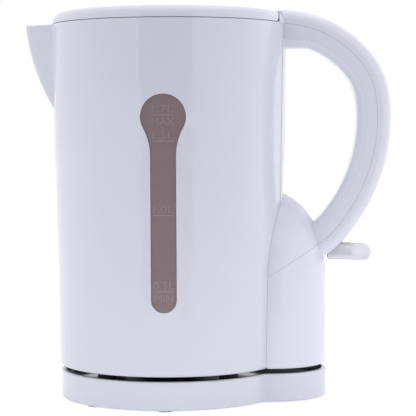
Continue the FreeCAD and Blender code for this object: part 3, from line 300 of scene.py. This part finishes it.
# Lever's core: slate blue, seen dimly through the frosted paddle
CORE_FINISH = MouldedPlastic("slate_blue_polyamide", "#6E7F9F", "#66779A", 0.5, 1.0, 0.02)
# handle_inner and handle_cover take the lighter copy of the white gloss, with painted light in its colour
NODE_FINISHES = {"handle_inner": HANDLE_PAINTED_LIGHT_FINISH, "handle_cover": HANDLE_PAINTED_LIGHT_FINISH, "switch_rocker": CORE_FINISH}


def dress_frame() -> None:
    """Give every node of the frame its own finish, or that of its slot in the record."""
    materials = {finish: finish.material() for finish in (*FINISHES.values(), HANDLE_PAINTED_LIGHT_FINISH, CORE_FINISH)}
    for row in frame["record"]["subparts"]:
        mesh = frame["nodes"][row["node"]].data
        mesh.materials.clear()
        finish = NODE_FINISHES.get(row["node"], FINISHES[Slot(row["material_slot"])])
        mesh.materials.append(materials[finish])
        LOG.info("dressed %s in %s", row["node"], row["material_slot"])


@dataclass(frozen=True)
class Mark:
    """One line of the graduation: a figure over a bar, with a word under the bar where there is one."""

    figure: str
    bar_z_mm: float
    word: str = ""
    word_mm: float = 0.0


@dataclass
class GaugeMarks:
    """Raised graduation on the water window, wrapped on its face."""

    node: str = "water_gauge"
    figure_mm: float = 11.2
    letter_mm: float = 4.0
    figure_lift_mm: float = 1.3
    word_drop_mm: float = 5.6
    bar_mm: tuple[float, float] = (11.4, 0.8)
    bar_steps: int = 10
    proud_mm: float = 0.12
    marks: tuple[Mark, ...] = (
        Mark("1.7L", 161.3, "MAX", 12.1), Mark("1.5L", 147.2), Mark("1.0L", 107.3),
        Mark("0.5L", 66.1, "MIN", 9.9))
    finish: ClearPlastic = ClearPlastic("smoked_graduation", "#AC9CA4", "#A999A1", 0.3, 0.2)

    def build(self) -> bpy.types.Object:
        """Make all the marks as one piece on the window's face."""
        form = bmesh.new()
        for mark in self.marks:
            base = mark.bar_z_mm + self.figure_lift_mm
            self._letters(form, mark.figure, self.figure_mm, base)
            self._bar(form, mark.bar_z_mm)
            if mark.word:
                self._letters(form, mark.word, mark.word_mm, mark.bar_z_mm - self.word_drop_mm)
        self._wrap(form)
        mesh = bpy.data.meshes.new("gauge_marks")
        form.to_mesh(mesh)
        form.free()
        piece = bpy.data.objects.new("gauge_marks", mesh)
        bpy.context.scene.collection.objects.link(piece)
        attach(piece, "jug")
        return piece

    def dress(self, piece: bpy.types.Object) -> None:
        """Give the marks the window's plastic, a little paler where they stand proud."""
        piece.data.materials.append(self.finish.material())

    def _letters(self, form: bmesh.types.BMesh, text: str, wide: float, base: float) -> None:
        """Add a word, flat, centred on the window's middle line.

        Args:
            form: mesh that takes the letters, in metres.
            text: the word.
            wide: width of the word in millimetres.
            base: height of its foot in millimetres.
        """
        curve = bpy.data.curves.new("word", "FONT")
        curve.body = text
        writing = bpy.data.objects.new("word", curve)
        bpy.context.scene.collection.objects.link(writing)
        mesh = bpy.data.meshes.new_from_object(writing)
        bpy.data.objects.remove(writing)
        bpy.data.curves.remove(curve)
        spots = [vertex.co for vertex in mesh.vertices]
        low, high = [[pick(s[axis] for s in spots) for axis in (0, 1)] for pick in (min, max)]
        for vertex in mesh.vertices:
            across = (vertex.co.x - low[0]) / (high[0] - low[0]) - 0.5
            up = (vertex.co.y - low[1]) / (high[1] - low[1])
            vertex.co = (across * wide * MM, 0.0, (base + up * self.letter_mm) * MM)
        form.from_mesh(mesh)
        bpy.data.meshes.remove(mesh)

    def _bar(self, form: bmesh.types.BMesh, middle: float) -> None:
        """Add a flat bar in steps short enough to follow the window's curve."""
        wide, tall = self.bar_mm
        rows = []
        for step in range(self.bar_steps + 1):
            across = (step / self.bar_steps - 0.5) * wide
            heights = (middle - tall / 2, middle + tall / 2)
            rows.append([form.verts.new((across * MM, 0.0, height * MM)) for height in heights])
        for (a, b), (c, d) in zip(rows, rows[1:]):
            form.faces.new((a, c, d, b))

    def _wrap(self, form: bmesh.types.BMesh) -> None:
        """Raise the flat marks and lay them on the window."""
        raised = bmesh.ops.extrude_face_region(form, geom=list(form.faces))["geom"]
        tops = {item for item in raised if isinstance(item, bmesh.types.BMVert)}
        window = frame["nodes"][self.node]
        face = BVHTree.FromPolygons([window.matrix_world @ v.co for v in window.data.vertices],
                                    [tuple(p.vertices) for p in window.data.polygons])
        for vertex in form.verts:
            hit = face.ray_cast(Vector((vertex.co.x, -1.0, vertex.co.z)), Vector((0.0, 1.0, 0.0)))[0]
            lift = self.proud_mm * MM if vertex in tops else -self.proud_mm * MM
            vertex.co.y = hit.y - lift
        bmesh.ops.recalc_face_normals(form, faces=form.faces)


@dataclass(frozen=True)
class Lamp:
    """A rectangular lamp, in metres and watts, with the point that it faces."""

    name: str
    at: tuple[float, float, float]
    wide: float
    tall: float
    watts: float
    aim: tuple[float, float, float] = (0.02, 0.0, 0.11)
    glints: bool = True


@dataclass
class Studio:
    """Pale floor, soft lamps, dark cards and the camera of the photograph."""

    floor_half: float = 6.0
    floor_front: float = -0.45
    card_middle: float = 0.0
    card_ahead: float = -1.3
    card_half: float = 0.62
    card_foot: float = -0.6
    card_step: float = 0.1
    card_top: float = 0.8
    upper_felt: str = "#4A4A4B"
    lower_felt: str = "#6C6C6E"
    floor_colour: str = "#F4F4F4"
    floor_glow: float = 0.18
    floor_seen_glow: float = 0.7
    world_strength: float = 1.0
    lamps: tuple[Lamp, ...] = (
        Lamp("right_panel", (1.3, 0.55, 0.35), 1.6, 1.2, 2.2),
        Lamp("top_panel", (0.0, 0.1, 1.5), 1.4, 1.4, 4.6),
        Lamp("low_strip", (0.04, -0.2, 0.012), 0.4, 0.02, 0.035, (0.04, 0.0, 0.012), False))
    camera_at: tuple[float, float, float] = (0.05086, -0.92025, 0.1506)
    camera_along: tuple[float, float, float] = (-0.03138, 0.99845, -0.04588)
    camera_roll: float = -0.0037
    focal_pixels: float = 1597.0
    image_pixels: float = 416.0
    sensor_mm: float = 36.0

    def build(self) -> None:
        """Make floor, world, lamps and camera."""
        self._floor()
        self._world()
        self._card("upper_card", self.card_step, self.card_top, self.upper_felt)
        self._card("lower_card", self.card_foot, self.card_step, self.lower_felt)
        for lamp in self.lamps:
            self._hang(lamp)
        self._camera()

    def _card(self, name: str, low: float, high: float, colour: str) -> None:
        """Stand a dark card behind the camera, for the duller stripe down the front of the gloss.

        Args:
            name: card's name.
            low: height of its lower edge.
            high: height of its upper edge.
            colour: sRGB hex colour of its cloth.
        """
        middle, half, ahead = self.card_middle, self.card_half, self.card_ahead
        corners = [(middle - half, ahead, low), (middle - half, ahead, high),
                   (middle + half, ahead, high), (middle + half, ahead, low)]
        card = self._sheet(name, corners)
        card.visible_camera = False
        made = empty_material(f"{name}_felt")
        cover = add_node(made, "ShaderNodeBsdfDiffuse", {}, {"Color": linear(colour)})
        card.data.materials.append(close_material(made, cover.outputs["BSDF"]))

    def _sheet(self, name: str, corners: list[tuple[float, float, float]]) -> bpy.types.Object:
        """Make a flat four-cornered sheet."""
        mesh = bpy.data.meshes.new(name)
        mesh.from_pydata(corners, [], [(0, 1, 2, 3)])
        sheet = bpy.data.objects.new(name, mesh)
        bpy.context.scene.collection.objects.link(sheet)
        return sheet

    def _floor(self) -> None:
        """Lay a pale floor that reads as white and keeps the object's shadow."""
        half, front = self.floor_half, self.floor_front
        floor = self._sheet("floor", [(-half, front, 0.0), (half, front, 0.0),
                                      (half, half, 0.0), (-half, half, 0.0)])
        made = empty_material("pale_floor")
        path = add_node(made, "ShaderNodeLightPath", {}, {})
        seen = add_node(made, "ShaderNodeMath", {"operation": "MAXIMUM"}, {
            0: path.outputs["Is Camera Ray"], 1: path.outputs["Is Transmission Ray"]})
        lift = add_node(made, "ShaderNodeMapRange", {}, {"Value": seen.outputs["Value"],
                                                         "To Min": self.floor_glow,
                                                         "To Max": self.floor_seen_glow})
        cover = add_node(made, "ShaderNodeBsdfDiffuse", {}, {"Color": linear(self.floor_colour)})
        glow = add_node(made, "ShaderNodeEmission", {}, {"Strength": lift.outputs["Result"]})
        both = add_node(made, "ShaderNodeAddShader", {}, {0: cover.outputs["BSDF"],
                                                          1: glow.outputs["Emission"]})
        floor.data.materials.append(close_material(made, both.outputs["Shader"]))

    def _world(self) -> None:
        """Surround the scene with even white light."""
        world = bpy.data.worlds.new("studio")
        world.use_nodes = True
        bpy.context.scene.world = world
        tree = world.node_tree
        tree.nodes.clear()
        sky = tree.nodes.new("ShaderNodeBackground")
        sky.inputs["Color"].default_value = WHITE
        sky.inputs["Strength"].default_value = self.world_strength
        output = tree.nodes.new("ShaderNodeOutputWorld")
        tree.links.new(sky.outputs["Background"], output.inputs["Surface"])

    def _hang(self, lamp: Lamp) -> None:
        """Hang a lamp that faces its point and stays out of the camera's sight."""
        data = bpy.data.lights.new(lamp.name, "AREA")
        data.shape = "RECTANGLE"
        data.size = lamp.wide
        data.size_y = lamp.tall
        data.energy = lamp.watts
        panel = bpy.data.objects.new(lamp.name, data)
        panel.visible_camera = False
        panel.visible_glossy = lamp.glints
        panel.location = lamp.at
        panel.rotation_euler = (Vector(lamp.aim) - Vector(lamp.at)).to_track_quat("-Z", "Y").to_euler()
        bpy.context.scene.collection.objects.link(panel)

    def _camera(self) -> None:
        """Set the camera where the photograph's was."""
        along = Vector(self.camera_along).normalized()
        right = along.cross(Vector((0, 0, 1))).normalized()
        up = right.cross(along)
        turn = Matrix.Rotation(self.camera_roll, 3, -along)
        axes = Matrix((turn @ right, turn @ up, -along)).transposed()
        data = bpy.data.cameras.new("camera")
        data.sensor_width = self.sensor_mm
        data.lens = self.focal_pixels * self.sensor_mm / self.image_pixels
        data.clip_end = 50.0
        camera = bpy.data.objects.new("camera", data)
        camera.matrix_world = Matrix.Translation(self.camera_at) @ axes.to_4x4()
        bpy.context.scene.collection.objects.link(camera)
        bpy.context.scene.camera = camera


def main() -> None:
    """Dress the frame, add the scene's own pieces and set up the studio."""
    logging.basicConfig(level=logging.INFO, format="%(message)s")
    bpy.context.scene.view_settings.view_transform = "Standard"
    dress_frame()
    gauge_marks = GaugeMarks()
    gauge_marks.dress(gauge_marks.build())
    Studio().build()


if __name__ == "__main__":
    main()
